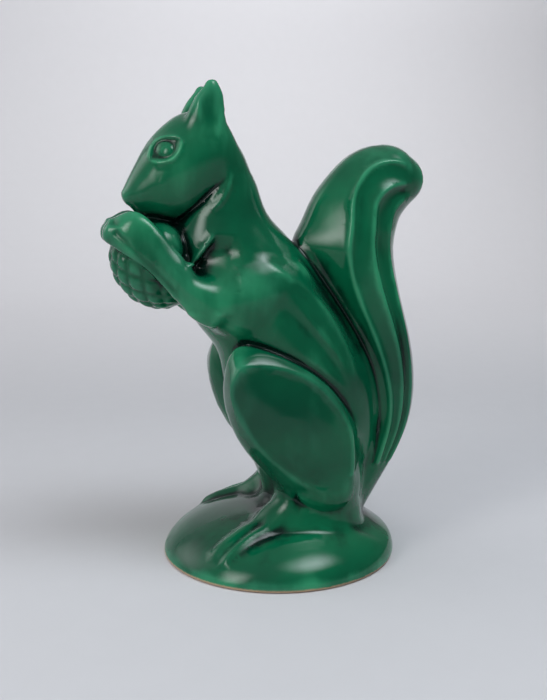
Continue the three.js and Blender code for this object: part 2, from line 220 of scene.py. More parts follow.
# Places that a wet finger smooths, as passes and the ends along x and z: the foot of the tail, the feet, the
# tip of the tail twice and the nape twice. The breast is smoothed after the side lines are drawn.
SMOOTHED = [
    (14, (20, 64), (8, 44)), (4, (-45, 14), (4, 34)), (12, (62, 81), (158, 200)), (30, (66, 81), (160, 196)),
    (20, (-23, -2), (176, 206)), (30, (-21, -4), (180, 203)),
]
SMOOTHED_BREAST = 30, (-46, -18), (120, 140)

# The pine cone: its middle as x and z, its radii across, sideways and along, its lean, the waves of its quilt
# and the middle and radii of its smooth top, between the forearm and the jaw.
CONE_MIDDLE = (AXIS_X - 58.5, CROWN + 116.5)
CONE_RADII = (19.4, 17.4, 22.4)
CONE_LEAN = math.radians(40)
QUILT_WAVES = 6
CONE_TOP = (-50.5, -9, 145.5), (11.5, 11.8, 13)

# The bowl in the outside of each ear: its middle, with y from the mid-plane, and its radii across, sideways
# and along.
EAR_BOWL = (-28, 18.9, 207)
EAR_BOWL_RADII = (6.4, 2.2, 14)

# The almond eye on each side, as x and z, half its length and height and its lean, and the dent in the cheek.
EYE_MIDDLE = (-48.0, 189.9)
EYE_LENGTH = 8.4
EYE_HEIGHT = 4.9
EYE_LEAN = math.radians(34.5)
CHEEK_DENT = (-51.2, 178.1)

# The floor of the hollow, the recess under the foot, and the slot with its rounded edges.
FLOOR_TOP = 9.5
RECESS_RADIUS = 48.5
RECESS_DEPTH = 5
SLOT_MIDDLE = (69, 0, 89)
SLOT_REACH = 13
SLOT_EDGE = 1.5

# The stopper's outline as radius and height: its flange and ribs measured up from its underside, and its
# top measured from the highest point. Its pull bar stands out below.
STOPPER_SIDE = [
    (0, 0.3), (16.2, 0.3), (16.7, 0.05), (18.5, 0), (19, 0.25), (19.2, 0.8), (19.2, 1.4), (18.9, 1.85),
    (18.3, 2), (16.1, 2), (15.5, 2.2), (15.3, 2.7), (15.65, 3.3), (15.65, 3.9), (15.25, 4.5), (15.25, 5.3),
    (15.65, 5.9), (15.65, 6.6), (15.2, 7.2),
]
STOPPER_TOP = [
    (14.6, -0.9), (14.2, -0.2), (13.4, 0), (11.6, 0), (11.2, -0.3), (11, -3), (10.4, -3.5), (0, -3.5),
]
PULL_BAR_HEIGHT = 1.6

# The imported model's nodes that are made of clay, and those of them that are hollow.
CLAY_NODES = (
    "plinth", "body_shell", "head", "ear_left", "ear_right", "arm_left", "arm_right", "pine_cone",
    "haunch_left", "haunch_right", "foot_left", "foot_right", "tail",
)
HOLLOW_NODES = ("plinth", "body_shell", "tail")
# How far the lip of a piece turns into the clay, and the count of faces below which an island changes piece.
LIP = 1.2
SMALL_ISLAND = 250

# Lamps: name, place, width and height, share of the key light, colour, the point that it faces, and spread.
LAMPS = [
    ("left_box", (-0.82, -0.48, 0.55), (0.6, 1.1), 0.7, (1, 0.985, 0.96), (0, 0, 0.2), 180),
    ("window", (0.3, -0.35, 0.95), (0.95, 0.8), 1.1, (0.88, 0.95, 1), (0, 0, 0.1), 180),
    ("left_panel", (-1.3, 0.8, 0.7), (2.0, 1.8), 0.85, (1, 1, 1), (0, 0, 0.1), 180),
    ("backdrop_lamp", (0.3, 0.35, 1.4), (1.2, 0.4), 1.5, (1, 1, 1), (0.4, 1.4, 0.7), 120),
]
# The camera's place, its level heading and its pitch downwards.
CAMERA_PLACE = (-98.14, -407.52, 171.5)
CAMERA_HEADING = (0.2419, 0.9703)
CAMERA_PITCH = math.radians(9.95)


def size_property(name, description, default, low, high):
    return bpy.props.FloatProperty(name=name, description=description, default=default, min=low, max=high)


def colour_property(name, description, *default):
    return bpy.props.FloatVectorProperty(
        name=name, description=description, subtype="COLOR", size=4, default=(*default, 1), min=0, max=1
    )


class MoneyBoxSizes(bpy.types.PropertyGroup):
    """Sizes of the cast figure, in millimetres."""

    voxel: size_property("Grain", "Distance between two points of the clay field", 0.6, 0.3, 2.0)
    wall: size_property("Wall", "Thickness of the cast clay", 4.5, 2.0, 8.0)
    flute_depth: size_property("Flute depth", "Depth of the tail's flutes", 2.4, 0.0, 4.0)
    crease_depth: size_property("Crease depth", "Depth of the creases between forms", 1.1, 0.0, 4.0)
    scale_height: size_property("Scale height", "Height of the pine cone's diamonds", 1.1, 0.0, 3.0)
    slot_length: size_property("Slot length", "Length of the coin slot", 28.0, 20.0, 40.0)
    slot_width: size_property("Slot width", "Width of the coin slot", 4.6, 2.0, 8.0)
    hole_radius: size_property("Hole radius", "Radius of the coin hole", 16.0, 10.0, 25.0)


class MoneyBoxFinish(bpy.types.PropertyGroup):
    """Colours of the glaze, the bare clay and the stopper."""

    glaze: colour_property("Glaze", "Colour of the glaze at its usual thickness", 0.0015, 0.09, 0.041)
    # This dark glaze colour also paints the shade in wide hollows.
    pooled_glaze_and_painted_shade: colour_property("Pooled glaze", "Colour of the glaze gathered in creases", 0.0006, 0.012, 0.008)
    # This pale glaze colour also paints light on large bulges.
    thin_glaze_and_painted_light: colour_property("Thin glaze", "Colour of the glaze where it thins over ridges", 0.03, 0.25, 0.13)
    biscuit: colour_property("Bare clay", "Colour of the unglazed foot ring", 0.56, 0.39, 0.26)
    rubber: colour_property("Rubber", "Colour of the stopper", 0.022, 0.021, 0.02)


class MoneyBoxStage(bpy.types.PropertyGroup):
    """The floor, the light and the camera."""

    floor: colour_property("Floor", "Colour of the floor and the backdrop", 0.58, 0.576, 0.6)
    room: size_property("Room light", "Strength of the light from all round", 0.32, 0, 2)
    key: bpy.props.FloatProperty(
        name="Key light", description="Power of the large soft lamp", default=6.0, subtype="POWER", min=0
    )
    lens: bpy.props.FloatProperty(
        name="Lens",
        description="Focal length of the camera",
        default=46.16,
        subtype="DISTANCE_CAMERA",
        min=10,
    )


def sizes():
    return bpy.context.scene.money_box_sizes


def finish_colours():
    return bpy.context.scene.money_box_finish


def smoothstep(low, high, value):
    share = np.clip((value - low) / (high - low), 0, 1)
    return share * share * (3 - 2 * share)


def bell(distance, width):
    """A rounded profile, one at no distance and falling off over a width."""
    return np.exp(-(distance / width) ** 2)


def rounded_cut(field, solid, blend):
    """A field with a solid taken out of it, and a fillet along the cut."""
    cutter = -solid
    mix = np.maximum(blend - np.abs(field - cutter), 0)
    return np.maximum(field, cutter) + mix * mix / (4 * blend)


def spline(points, count, start=0.0, end=None):
    """Points of a smooth curve through the given ones: a natural cubic spline, evenly spaced in its knots."""
    knots = np.asarray(points, float)
    n = len(knots)
    bands = np.eye(n)
    right = np.zeros_like(knots)
    for row in range(1, n - 1):
        bands[row, row - 1:row + 2] = (1, 4, 1)
        right[row] = 6 * (knots[row - 1] - 2 * knots[row] + knots[row + 1])
    bend = np.linalg.solve(bands, right)
    t = np.linspace(start, n - 1 if end is None else end, count)
    first = np.minimum(t.astype(int), n - 2)
    share = (t - first)[:, None]
    rest = 1 - share
    a, b = knots[first], knots[first + 1]
    p, q = bend[first], bend[first + 1]
    return a * rest + b * share + ((rest ** 3 - rest) * p + (share ** 3 - share) * q) / 6


def reach_round(outline, centre, angle):
    """Distance from a centre to a smooth closed outline, in each direction."""
    wrapped = list(outline[-3:]) + list(outline) + list(outline[:3])
    dense = spline(wrapped, 40 * len(outline), 3, 3 + len(outline)) - centre
    around = np.arctan2(dense[:, 1], dense[:, 0])
    order = np.argsort(around)
    return np.interp(angle, around[order], np.hypot(*dense.T)[order], period=2 * math.pi)


def loft(stations, domes, sides=96, steps=150, relief=None):
    """Points, quads and triangles of a closed form through its stations, with rounded ends.

    A relief gives how far the skin sinks at a place along the stations, at angles from the back edge, and
    for the rounded ends at how far they have turned.
    """
    full = np.array([tuple(s) + (0.0,) * (6 - len(s)) for s in stations])
    curve = spline(full, steps)
    front = np.stack([curve[:, 0] + AXIS_X, curve[:, 5], curve[:, 1] + CROWN], 1)
    back = np.stack([curve[:, 2] + AXIS_X, curve[:, 5], curve[:, 3] + CROWN], 1)
    centre = (front + back) / 2
    along = back - front
    half = np.linalg.norm(along, axis=1) / 2
    along /= 2 * half[:, None]
    width = curve[:, 4]
    turns = np.linspace(0, math.pi / 2, 14)[1:-1]
    layers = []
    tips = []
    for end, beside, length in ((0, 1, domes[0]), (-1, -2, domes[1])):
        axis = np.cross(along[end], (0, 1, 0))
        if axis @ (centre[end] - centre[beside]) < 0:
            axis = -axis
        rounded = [(centre[end] + axis * length * math.sin(turn), along[end], half[end], width[end],
                    -end * (len(full) - 1.0), turn) for turn in turns]
        layers.append(rounded if end else rounded[::-1])
        tips.append(centre[end] + axis * length)
    places = np.linspace(0, len(full) - 1, steps)
    middle = [(centre[i], along[i], half[i], width[i], places[i], 0.0) for i in range(steps)]
    angle = np.linspace(0, 2 * math.pi, sides, endpoint=False)
    rings = []
    for middle_point, direction, reach, across, at, turn in layers[0] + middle + layers[1]:
        sink = relief(at, angle, turn) * min(1.0, across / 20) if relief else 0.0
        ring = middle_point + direction * ((reach - sink) * math.cos(turn) * np.cos(angle))[:, None]
        ring[:, 1] += (across - sink) * math.cos(turn) * np.sin(angle)
        rings.append(ring)
    return skin_rings(rings, tips)


def skin_rings(rings, tips):
    """Points, quads and triangles over a stack of rings, closed by a fan at each end."""
    count, sides = len(rings), len(rings[0])
    points = np.concatenate([np.concatenate(rings), np.array(tips)]).astype(np.float32)
    ring, side = np.meshgrid(np.arange(count - 1), np.arange(sides), indexing="ij")
    beside = (side + 1) % sides
    quads = np.stack([ring * sides + side, ring * sides + beside,
                      (ring + 1) * sides + beside, (ring + 1) * sides + side], -1).reshape(-1, 4)
    edge = np.arange(sides)
    after = (edge + 1) % sides
    last = (count - 1) * sides
    start_fan = np.stack([np.full(sides, count * sides), after, edge], 1)
    end_fan = np.stack([np.full(sides, count * sides + 1), last + edge, last + after], 1)
    return points, quads.astype(np.uint32), np.concatenate([start_fan, end_fan]).astype(np.uint32)


def turned(outline, sides=120):
    """A form turned about +Z from its outline of radius and height."""
    outline = np.asarray(outline, float)
    angle = np.linspace(0, 2 * math.pi, sides, endpoint=False)
    rings = []
    for radius, height in outline[1:-1]:
        rings.append(np.stack([radius * np.cos(angle), radius * np.sin(angle), np.full(sides, height)], 1))
    return skin_rings(rings, [(0, 0, outline[0][1]), (0, 0, outline[-1][1])])


def ellipsoid(middle, radii):
    arc = np.linspace(-math.pi / 2, math.pi / 2, 60)
    points, quads, triangles = turned(np.stack([np.cos(arc), np.sin(arc)], 1), 80)
    return (points * radii + middle).astype(np.float32), quads, triangles


def denser(outline, step):
    """The same outline with a point at least every step."""
    outline = np.asarray(outline, float)
    made = [outline[0]]
    for start, end in zip(outline[:-1], outline[1:]):
        parts = max(1, math.ceil(np.linalg.norm(end - start) / step))
        made += [start + (end - start) * (i + 1) / parts for i in range(parts)]
    return np.array(made)


def placed(form, first, shape):
    """A form's distances over another block of the field."""
    form_first, block = form
    made = np.full(shape, BAND, np.float32)
    low = np.maximum(first, form_first)
    high = np.minimum(first + shape, form_first + block.shape)
    if (high > low).all():
        here = tuple(slice(a, b) for a, b in zip(low - first, high - first))
        there = tuple(slice(a, b) for a, b in zip(low - form_first, high - form_first))
        made[here] = block[there]
    return made


class Clay:
    """A field of distances to the clay's surface, negative inside, in which forms are pressed together."""

    def __init__(self, voxel):
        self.voxel = voxel
        low, high = np.array(FIELD).T
        self.low = np.floor(low / voxel).astype(int)
        self.count = np.ceil(high / voxel).astype(int) - self.low
        self.field = np.full(self.count, BAND, np.float32)
        self.room = self.field.copy()
        self.forms = {}
        self.axes = [((self.low[i] + np.arange(self.count[i])) * voxel).astype(np.float32) for i in range(3)]
        self.x, self.y, self.z = self.axes

    def level_set(self, mesh):
        """The field of one closed mesh, as its first index and a block of distances."""
        points, quads, triangles = mesh
        spread = openvdb.createLinearTransform(voxelSize=self.voxel)
        grid = openvdb.FloatGrid.createLevelSetFromPolygons(
            points, triangles=triangles, quads=quads, transform=spread, halfWidth=BAND / self.voxel
        )
        first = np.floor((points.min(0) - BAND) / self.voxel).astype(int)
        last = np.ceil((points.max(0) + BAND) / self.voxel).astype(int)
        first = np.maximum(first, self.low)
        last = np.minimum(last, self.low + self.count)
        block = np.empty(last - first, np.float32)
        grid.copyToArray(block, ijk=tuple(int(v) for v in first))
        return first, block

    def span(self, first, block):
        start = first - self.low
        return tuple(slice(s, s + n) for s, n in zip(start, block.shape))

    def add(self, name, mesh, blend, hollow=False):
        """Presses a closed mesh into the clay."""
        self.press(name, self.level_set(mesh), blend, hollow)

    def press(self, name, form, blend, hollow=False):
        """Presses a form into the clay with a fillet, and keeps it to tell the pieces apart later."""
        first, block = form
        part = self.span(first, block)
        if callable(blend):
            blend = self.over(part, blend)
        there = self.field[part]
        near = smoothstep(BAND, 0.5 * BAND, np.maximum(there, block))
        mix = np.maximum(blend - np.abs(there - block), 0)
        np.minimum(there, block, out=there)
        there -= near * mix * mix / (4 * blend)
        if hollow:
            np.minimum(self.room[part], block, out=self.room[part])
        self.forms[name] = form

    def over(self, part, value):
        """A value that changes over x and z, for the points of a block."""
        return value(self.x[part[0]][:, None, None], self.z[part[2]][None, None, :]).astype(np.float32)

    def crease(self, first_name, second_name, depth, width):
        """Sinks a groove where two forms meet. Its depth may change over x and z."""
        first, block = self.forms[first_name]
        part = self.span(first, block)
        if callable(depth):
            depth = self.over(part, depth)
        other = placed(self.forms[second_name], first, block.shape)
        self.field[part] += depth * bell(block - other, width)

    def smooth(self, passes, x_ends=FIELD[0], z_ends=FIELD[2]):
        """Smooths the clay between two ends along x and two along z."""
        ends = (x_ends, FIELD[1], z_ends)
        part = tuple(slice(*np.searchsorted(axis, pair)) for axis, pair in zip(self.axes, ends))
        block = self.field[part]
        for _ in range(passes):
            for axis in range(3):
                block = soften(block, axis)
        self.field[part] = block

    def side_relief(self, low, high, shape, inner):
        """Adds a relief drawn over x and z to both flanks. Positive values cut into the clay."""
        ix = slice(*np.searchsorted(self.x, (low[0], high[0])))
        iz = slice(*np.searchsorted(self.z, (low[1], high[1])))
        gx, gz = np.meshgrid(self.x[ix], self.z[iz], indexing="ij")
        weight = smoothstep(inner, inner + 3, np.abs(self.y))
        self.field[ix, :, iz] += (shape(gx, gz)[:, None, :] * weight[None, :, None]).astype(np.float32)

    def side_line(self, line, depth, width, ends, inner):
        """Draws a groove, or with a negative depth a ridge, along a smooth line on both flanks."""
        path = spline(line, 60)
        reach = 3 * width

        def shape(gx, gz):
            distance, share = line_distance(gx, gz, path)
            fade = smoothstep(0, ends[0], share) * smoothstep(0, ends[1], 1 - share)
            return depth * fade * bell(distance, width)

        self.side_relief(path.min(0) - reach, path.max(0) + reach, shape, inner)

    def carve(self, solid, blend):
        """Takes a solid, given as a field over the whole grid, out of the clay."""
        self.field = rounded_cut(self.field, solid, blend)


def soften(field, axis):
    """One pass of a binomial blur along an axis."""
    before, middle, after = ([slice(None)] * 3 for _ in range(3))
    before[axis] = slice(None, -2)
    middle[axis] = slice(1, -1)
    after[axis] = slice(2, None)
    out = field.copy()
    out[tuple(middle)] *= 2
    out[tuple(middle)] += field[tuple(before)]
    out[tuple(middle)] += field[tuple(after)]
    out[tuple(middle)] /= 4
    return out


def line_distance(gx, gz, path):
    """Distance from each point of a plane to a line, and the share of the line's length there."""
    best = np.full(gx.shape, 1e9)
    share = np.zeros(gx.shape)
    lengths = np.concatenate([[0], np.cumsum(np.linalg.norm(np.diff(path, axis=0), axis=1))])
    for i, (start, end) in enumerate(zip(path[:-1], path[1:])):
        run = end - start
        t = np.clip(((gx - start[0]) * run[0] + (gz - start[1]) * run[1]) / (run @ run), 0, 1)
        distance = np.hypot(gx - start[0] - t * run[0], gz - start[1] - t * run[1])
        nearer = distance < best
        best = np.where(nearer, distance, best)
        share = np.where(nearer, (lengths[i] + t * (lengths[i + 1] - lengths[i])) / lengths[-1], share)
    return best, share


def inside_distance(gx, gz, outline):
    """Signed distance to a closed outline, negative inside."""
    closed = np.array(list(outline) + [outline[0]], float)
    distance, _ = line_distance(gx, gz, closed)
    inside = np.zeros(gx.shape, bool)
    for (ax, az), (bx, bz) in zip(closed[:-1], closed[1:]):
        if az == bz:
            continue
        crosses = (az > gz) != (bz > gz)
        inside ^= crosses & (gx < (bx - ax) * (gz - az) / (bz - az) + ax)
    return np.where(inside, -distance, distance)


def mirrored(mesh):
    points, quads, triangles = mesh
    return points * np.array([1, -1, 1], np.float32), quads, triangles


clay_box = {}


def clay():
    """The clay field, made when the first form needs it."""
    if "clay" not in clay_box:
        clay_box["clay"] = Clay(sizes().voxel)
    return clay_box["clay"]


class MONEYBOX_OT_plinth(bpy.types.Operator):
    """Shape the round mound that the squirrel sits on"""

    bl_idname = "moneybox.plinth"
    bl_label = "Mound"

    def execute(self, context):
        turn = np.linspace(0, math.pi / 2, 90)
        dome = np.stack([MOUND_RADIUS * np.cos(turn), MOUND_RIM + (CROWN - MOUND_RIM) * np.sin(turn)], 1)
        outline = [(0, MOUND_BOTTOM), (MOUND_RADIUS, MOUND_BOTTOM), *dome]
        points, quads, triangles = turned(denser(outline, 1.0))
        points[:, 0] += AXIS_X + RIM_SHIFT + CROWN_SHIFT * np.clip(points[:, 2], 0, CROWN) / CROWN
        clay().add("plinth", (points, quads, triangles), 1.0, hollow=True)
        return {"FINISHED"}


class MONEYBOX_OT_body(bpy.types.Operator):
    """Shape the torso and the neck"""

    bl_idname = "moneybox.body"
    bl_label = "Body"

    def execute(self, context):
        clay().add("body_shell", loft(BODY, (0, 9)), self.blend, hollow=True)
        return {"FINISHED"}

    def blend(self, x, z):
        """The fillet round the foot of the body: wide in front, between the feet, and tight behind."""
        return 9.0 - 6.0 * smoothstep(8, 34, x) + 0 * z


class MONEYBOX_OT_feet(bpy.types.Operator):
    """Raise both feet out of the mound, the left one a step ahead"""

    bl_idname = "moneybox.feet"
    bl_label = "Feet"

    def execute(self, context):
        c = clay()
        low = c.z < 40
        mound = c.field[:, :, low].copy()
        for name, side, back, tall in (("foot_left", -1, 0, 0.8), ("foot_right", 1, 6, 1.3)):
            gx, gy = np.meshgrid(c.x - back, c.y * -side, indexing="ij")
            rise = np.minimum(self.rise(gx, gy) * tall, 5.4).astype(np.float32)
            c.field[:, :, low] -= rise[:, :, None] * smoothstep(BAND, 5.5, c.field[:, :, low])
            c.forms[name] = c.low.copy(), mound - rise[:, :, None] + 0.25
        gx, gy = np.meshgrid(c.x, -np.abs(c.y), indexing="ij")
        distance, share = line_distance(gx, gy, spline(TERRACE, 40))
        step = 0.7 * bell(distance, 2.6) * smoothstep(0, 0.2, share) * smoothstep(0, 0.3, 1 - share)
        c.field[:, :, low] -= step[:, :, None].astype(np.float32)
        return {"FINISHED"}

    def rise(self, gx, gy):
        """Height of the left foot above the mound: a slope up to its outer edge, parted into two toes."""
        edge = inside_distance(gx, gy, FOOT_OUTLINE)
        to_inner, _ = line_distance(gx, gy, np.array(FOOT_INNER))
        to_outer, _ = line_distance(gx, gy, np.array(FOOT_OUTER))
        share = to_inner / np.maximum(to_inner + to_outer, 0.1)
        height = np.interp(gx, *zip(*FOOT_HEIGHTS))
        top = height * (0.15 + 0.85 * share ** 0.9)
        toe, along = line_distance(gx, gy, spline(INNER_TOE, 30))
        top += 1.2 * bell(toe, 3.0) * smoothstep(0, 0.6, 1 - along)
        cleft, along = line_distance(gx, gy, spline(TOE_CLEFT, 40))
        top -= 1.4 * bell(cleft, 1.5) * smoothstep(0, 0.7, 1 - along)
        return np.maximum(top, 0) * smoothstep(0.5, -1.7, edge)


class MONEYBOX_OT_haunches(bpy.types.Operator):
    """Shape the oval thighs with their raised rims"""

    bl_idname = "moneybox.haunches"
    bl_label = "Haunches"

    def execute(self, context):
        c = clay()
        middle = np.array([3.0, 66.0])
        angle = np.linspace(0, 2 * math.pi, 200, endpoint=False)
        seam = reach_round(HAUNCH_SEAM, middle, angle)
        rim = reach_round(HAUNCH_RIM, middle, angle)
        rings = []
        for inward, scale, out in denser(HAUNCH_LAYERS, 0.25):
            reach = (seam + (rim - seam) * inward) * scale
            x, z = middle[0] + reach * np.cos(angle), middle[1] + reach * np.sin(angle)
            rings.append(np.stack([x, np.full(len(angle), -out), z], 1))
        tips = [(middle[0], -HAUNCH_LAYERS[end][2], middle[1]) for end in (0, -1)]
        thigh = skin_rings(rings, tips)
        ankle = loft(ANKLE, (0, 0), sides=64, steps=60)
        heel = ellipsoid(*HEEL)
        for name, turn in (("haunch_left", lambda mesh: mesh), ("haunch_right", self.right)):
            for mesh, blend in ((ankle, 8.0), (heel, 5.0), (thigh, self.blend)):
                c.add(name, turn(mesh), blend)
            c.crease(name, "body_shell", self.crease, 1.2)
        return {"FINISHED"}

    def right(self, mesh):
        """The right haunch, which sits a little further back than the left one."""
        points, quads, triangles = mirrored(mesh)
        return points + np.array([1.8, 0, 0], np.float32), quads, triangles

    def blend(self, x, z):
        """The fillet round a haunch: tight along its top, wide towards the tail and the foot."""
        to_tail = smoothstep(82, 58, z) * smoothstep(8, 24, x)
        return 1.5 + 6.0 * to_tail + 5.0 * smoothstep(46, 32, z) + 0 * x

    def crease(self, x, z):
        """The crease along the top of a haunch, which dies away towards the tail."""
        return 1.5 * sizes().crease_depth * smoothstep(60, 80, z) + 0 * x


class MONEYBOX_OT_tail(bpy.types.Operator):
    """Shape the fluted tail that rolls back at its tip"""

    bl_idname = "moneybox.tail"
    bl_label = "Tail"

    def execute(self, context):
        mesh = loft(TAIL, (0, 5.0), sides=300, steps=240, relief=self.flutes)
        clay().add("tail", mesh, self.blend, hollow=True)
        clay().crease("tail", "body_shell", sizes().crease_depth, 0.7)
        return {"FINISHED"}

    def blend(self, x, z):
        """The fillet that brings the back flush with the tail, and the haunches too towards the mound."""
        back = 7.5 * smoothstep(154, 140, z) * smoothstep(50, 75, z)
        return 1.5 + back + 7.0 * smoothstep(64, 48, z) + 0 * x

    def flutes(self, at, angle, turn):
        """How far the skin sinks into the three flutes of each side and into the flat face before them."""
        depth = sizes().flute_depth
        crests = spline(TAIL_CRESTS, 1, at, at)[0]
        from_back = np.degrees(np.abs(np.arctan2(np.sin(angle), np.cos(angle))))
        flute = np.interp(from_back, [0, *crests], [0, 1, 2, 3])
        share = np.interp(flute, [0, 0.9, 1.1, 1.9, 2.1, 3], [0.5, 0.5, 1, 1, 0.8, 0.8])
        sink = depth * share * np.abs(np.sin(math.pi * flute)) ** 0.8 * math.cos(turn) ** 2
        for crest, height in zip(crests, (0.3, 0.4, 1.1)):
            sink -= height * bell(from_back - crest, 3.4) * math.cos(turn) ** 3
        middle, half = (162 + crests[-1]) / 2, (162 - crests[-1]) / 2
        turned_by = np.radians(np.minimum(np.abs(from_back - middle), half))
        flat = 20 * (1 - math.cos(math.radians(half)) / np.cos(turned_by))
        return (sink + flat * smoothstep(11.5, 9.5, at)) * smoothstep(15, 10, at)


class MONEYBOX_OT_arms(bpy.types.Operator):
    """Shape the arms from the shoulders to the paws"""

    bl_idname = "moneybox.arms"
    bl_label = "Arms"

    def execute(self, context):
        c = clay()
        upper = loft(UPPER_ARM, (8, 5), sides=64, steps=70)
        lower = loft(FOREARM, (4, 3), sides=64, steps=110)
        for name, turn in (("arm_left", lambda mesh: mesh), ("arm_right", mirrored)):
            forms = []
            for mesh, blend in ((upper, 10.0), (lower, 3.0)):
                c.add(name, turn(mesh), blend)
                forms.append(c.forms[name])
            first = np.minimum(*(start for start, _ in forms))
            end = np.maximum(*(start + block.shape for start, block in forms))
            c.forms[name] = first, np.minimum(*(placed(form, first, end - first) for form in forms))
        return {"FINISHED"}


class MONEYBOX_OT_head(bpy.types.Operator):
    """Shape the head, and run its nape into the neck"""

    bl_idname = "moneybox.head"
    bl_label = "Head"

    def execute(self, context):
        clay().add("head", loft(HEAD, (1.5, 2.5)), self.blend)
        return {"FINISHED"}

    def blend(self, x, z):
        """The fillet between head and neck: tight at the jaw, wide at the nape."""
        return 2.0 + 4.0 * smoothstep(-34, -20, x) + 0 * z


class MONEYBOX_OT_ears(bpy.types.Operator):
    """Shape both ears and hollow their outer faces"""

    bl_idname = "moneybox.ears"
    bl_label = "Ears"

    def execute(self, context):
        c = clay()
        mesh = loft(EAR, (0, 2), sides=64, steps=60)
        for name, side, form in (("ear_left", -1, mesh), ("ear_right", 1, mirrored(mesh))):
            first, block = c.level_set(form)
            gx, gy, gz = (axis[part] for axis, part in zip(c.axes, c.span(first, block)))
            x = (gx - EAR_BOWL[0])[:, None, None]
            y = (gy - side * EAR_BOWL[1])[None, :, None]
            z = (gz - EAR_BOWL[2])[None, None, :]
            along = z * 0.995 + x * 0.1
            across = x * 0.995 - z * 0.1
            wide, deep, tall = EAR_BOWL_RADII
            bowl = (np.sqrt((across / wide) ** 2 + (y / deep) ** 2 + (along / tall) ** 2) - 1) * deep
            c.press(name, (first, rounded_cut(block, bowl, 1.0).astype(np.float32)), 3.0)
        return {"FINISHED"}


class MONEYBOX_OT_pine_cone(bpy.types.Operator):
    """Shape the pine cone and quilt it with diamonds"""

    bl_idname = "moneybox.pine_cone"
    bl_label = "Pine cone"

    def execute(self, context):
        steps, sides = 260, 320
        turn = np.linspace(0, math.pi, steps + 2)[1:-1, None]
        angle = np.linspace(0, 2 * math.pi, sides, endpoint=False)[None, :]
        first = np.sin(QUILT_WAVES * angle + QUILT_WAVES * turn)
        second = np.sin(QUILT_WAVES * angle - QUILT_WAVES * turn)
        groove = np.minimum(1, bell(first, 0.26) + bell(second, 0.26))
        sine, cosine = math.sin(CONE_LEAN), math.cos(CONE_LEAN)
        upward = 19 * np.sin(turn) * np.cos(angle) * sine + 22 * np.cos(turn) * cosine
        worn = 1 - 0.75 * smoothstep(2, 12, upward)
        out = sizes().scale_height * (0.5 * np.abs(first * second) - groove) * np.sin(turn) ** 0.6 * worn
        wide, deep, tall = CONE_RADII
        across = (wide + out) * np.sin(turn) * np.cos(angle)
        side = (deep + out) * np.sin(turn) * np.sin(angle)
        up = (tall + out) * np.cos(turn) * np.ones_like(angle)
        middle_x, middle_z = CONE_MIDDLE
        x = middle_x + across * cosine - up * sine
        z = middle_z + across * sine + up * cosine
        rings = [np.stack([x[i], side[i], z[i]], 1) for i in range(steps)]
        tips = [(middle_x - end * sine, 0, middle_z + end * cosine) for end in (tall, -tall)]
        top = ellipsoid(*CONE_TOP)
        for mesh in (top, mirrored(top), skin_rings(rings, tips)):
            clay().add("pine_cone", mesh, 0.8)
        return {"FINISHED"}


def model_side_details(c):
    """Draws the jaw, the ruff, the chest, the arms' lines and the ridges of the flanks on both sides."""

    def chest(gx, gz):
        inside = smoothstep(0.3, -0.6, inside_distance(gx, gz, CHEST_HOLLOW))
        to_ruff, _ = line_distance(gx, gz, spline(RUFF_EDGE, 30))
        to_shoulder, _ = line_distance(gx, gz, np.array(CHEST_SHOULDER))
        return 3.4 * inside * smoothstep(0, 2.0, to_ruff) * smoothstep(0, 9, to_shoulder)

    def above_forearm(gx, gz):
        distance, share = line_distance(gx, gz, spline(FOREARM_LINE, 40))
        above = (gx + 59) * 0.67 + (gz - 143.6) * 0.74 > 0
        step = np.where(above, smoothstep(0, 2.5, distance) * smoothstep(15, 9, distance), 0)
        return 1.3 * step * smoothstep(0.05, 0.3, share) * smoothstep(0, 0.5, 1 - share)

    def shoulder(gx, gz):
        distance, share = line_distance(gx, gz, spline(BACK_RIDGE, 60))
        above = inside_distance(gx, gz, BACK_RIDGE + [(90, 74), (90, 200), (-12, 200)]) < 0
        swell = np.where(above, smoothstep(5, 0, distance), bell(distance, 13))
        return -2.2 * swell * smoothstep(0, 0.25, share) * smoothstep(0, 0.5, 1 - share)

    c.side_relief((-30, 60), (50, 165), shoulder, inner=8)
    c.side_relief((-45, 124), (-8, 160), chest, inner=5)
    c.side_relief((-72, 124), (-32, 164), above_forearm, inner=10)
    for line in SIDE_LINES:
        c.side_line(*line)


def model_face(c):
    """Models the almond lids, the eyes and the small dent in each cheek."""
    sine, cosine = math.sin(EYE_LEAN), math.cos(EYE_LEAN)

    def eye(gx, gz):
        dx, dz = gx - EYE_MIDDLE[0], gz - EYE_MIDDLE[1]
        u = dx * cosine + dz * sine
        v = dz * cosine - dx * sine
        half = EYE_HEIGHT * (1 - (u / EYE_LENGTH) ** 2)
        slope = np.hypot(1, 2 * EYE_HEIGHT * u / EYE_LENGTH ** 2)
        edge = (np.abs(v) - half) / slope
        within = smoothstep(0.3, -0.7, edge)
        from_middle = np.hypot(u, v)
        lids = -1.0 * bell(edge, 0.8) * smoothstep(9.0, 7.0, np.abs(u))
        socket = 0.6 * smoothstep(-0.3, -1.3, edge)
        disc = -0.7 * smoothstep(3.6, 2.8, from_middle) - 0.3 * np.clip(1 - (from_middle / 3.2) ** 2, 0, 1)
        ring = 0.25 * bell(from_middle - 3.6, 0.6) * within
        pupil = -0.35 * bell(from_middle, 0.8)
        return lids + socket + disc + ring + pupil

    def dent(gx, gz):
        return 0.3 * np.exp(-(((gx - CHEEK_DENT[0]) ** 2 + (gz - CHEEK_DENT[1]) ** 2) / 1.5 ** 2))

    c.side_relief((-60, 178), (-36, 202), eye, inner=5)
    c.side_relief((-57, 172), (-45, 184), dent, inner=5)


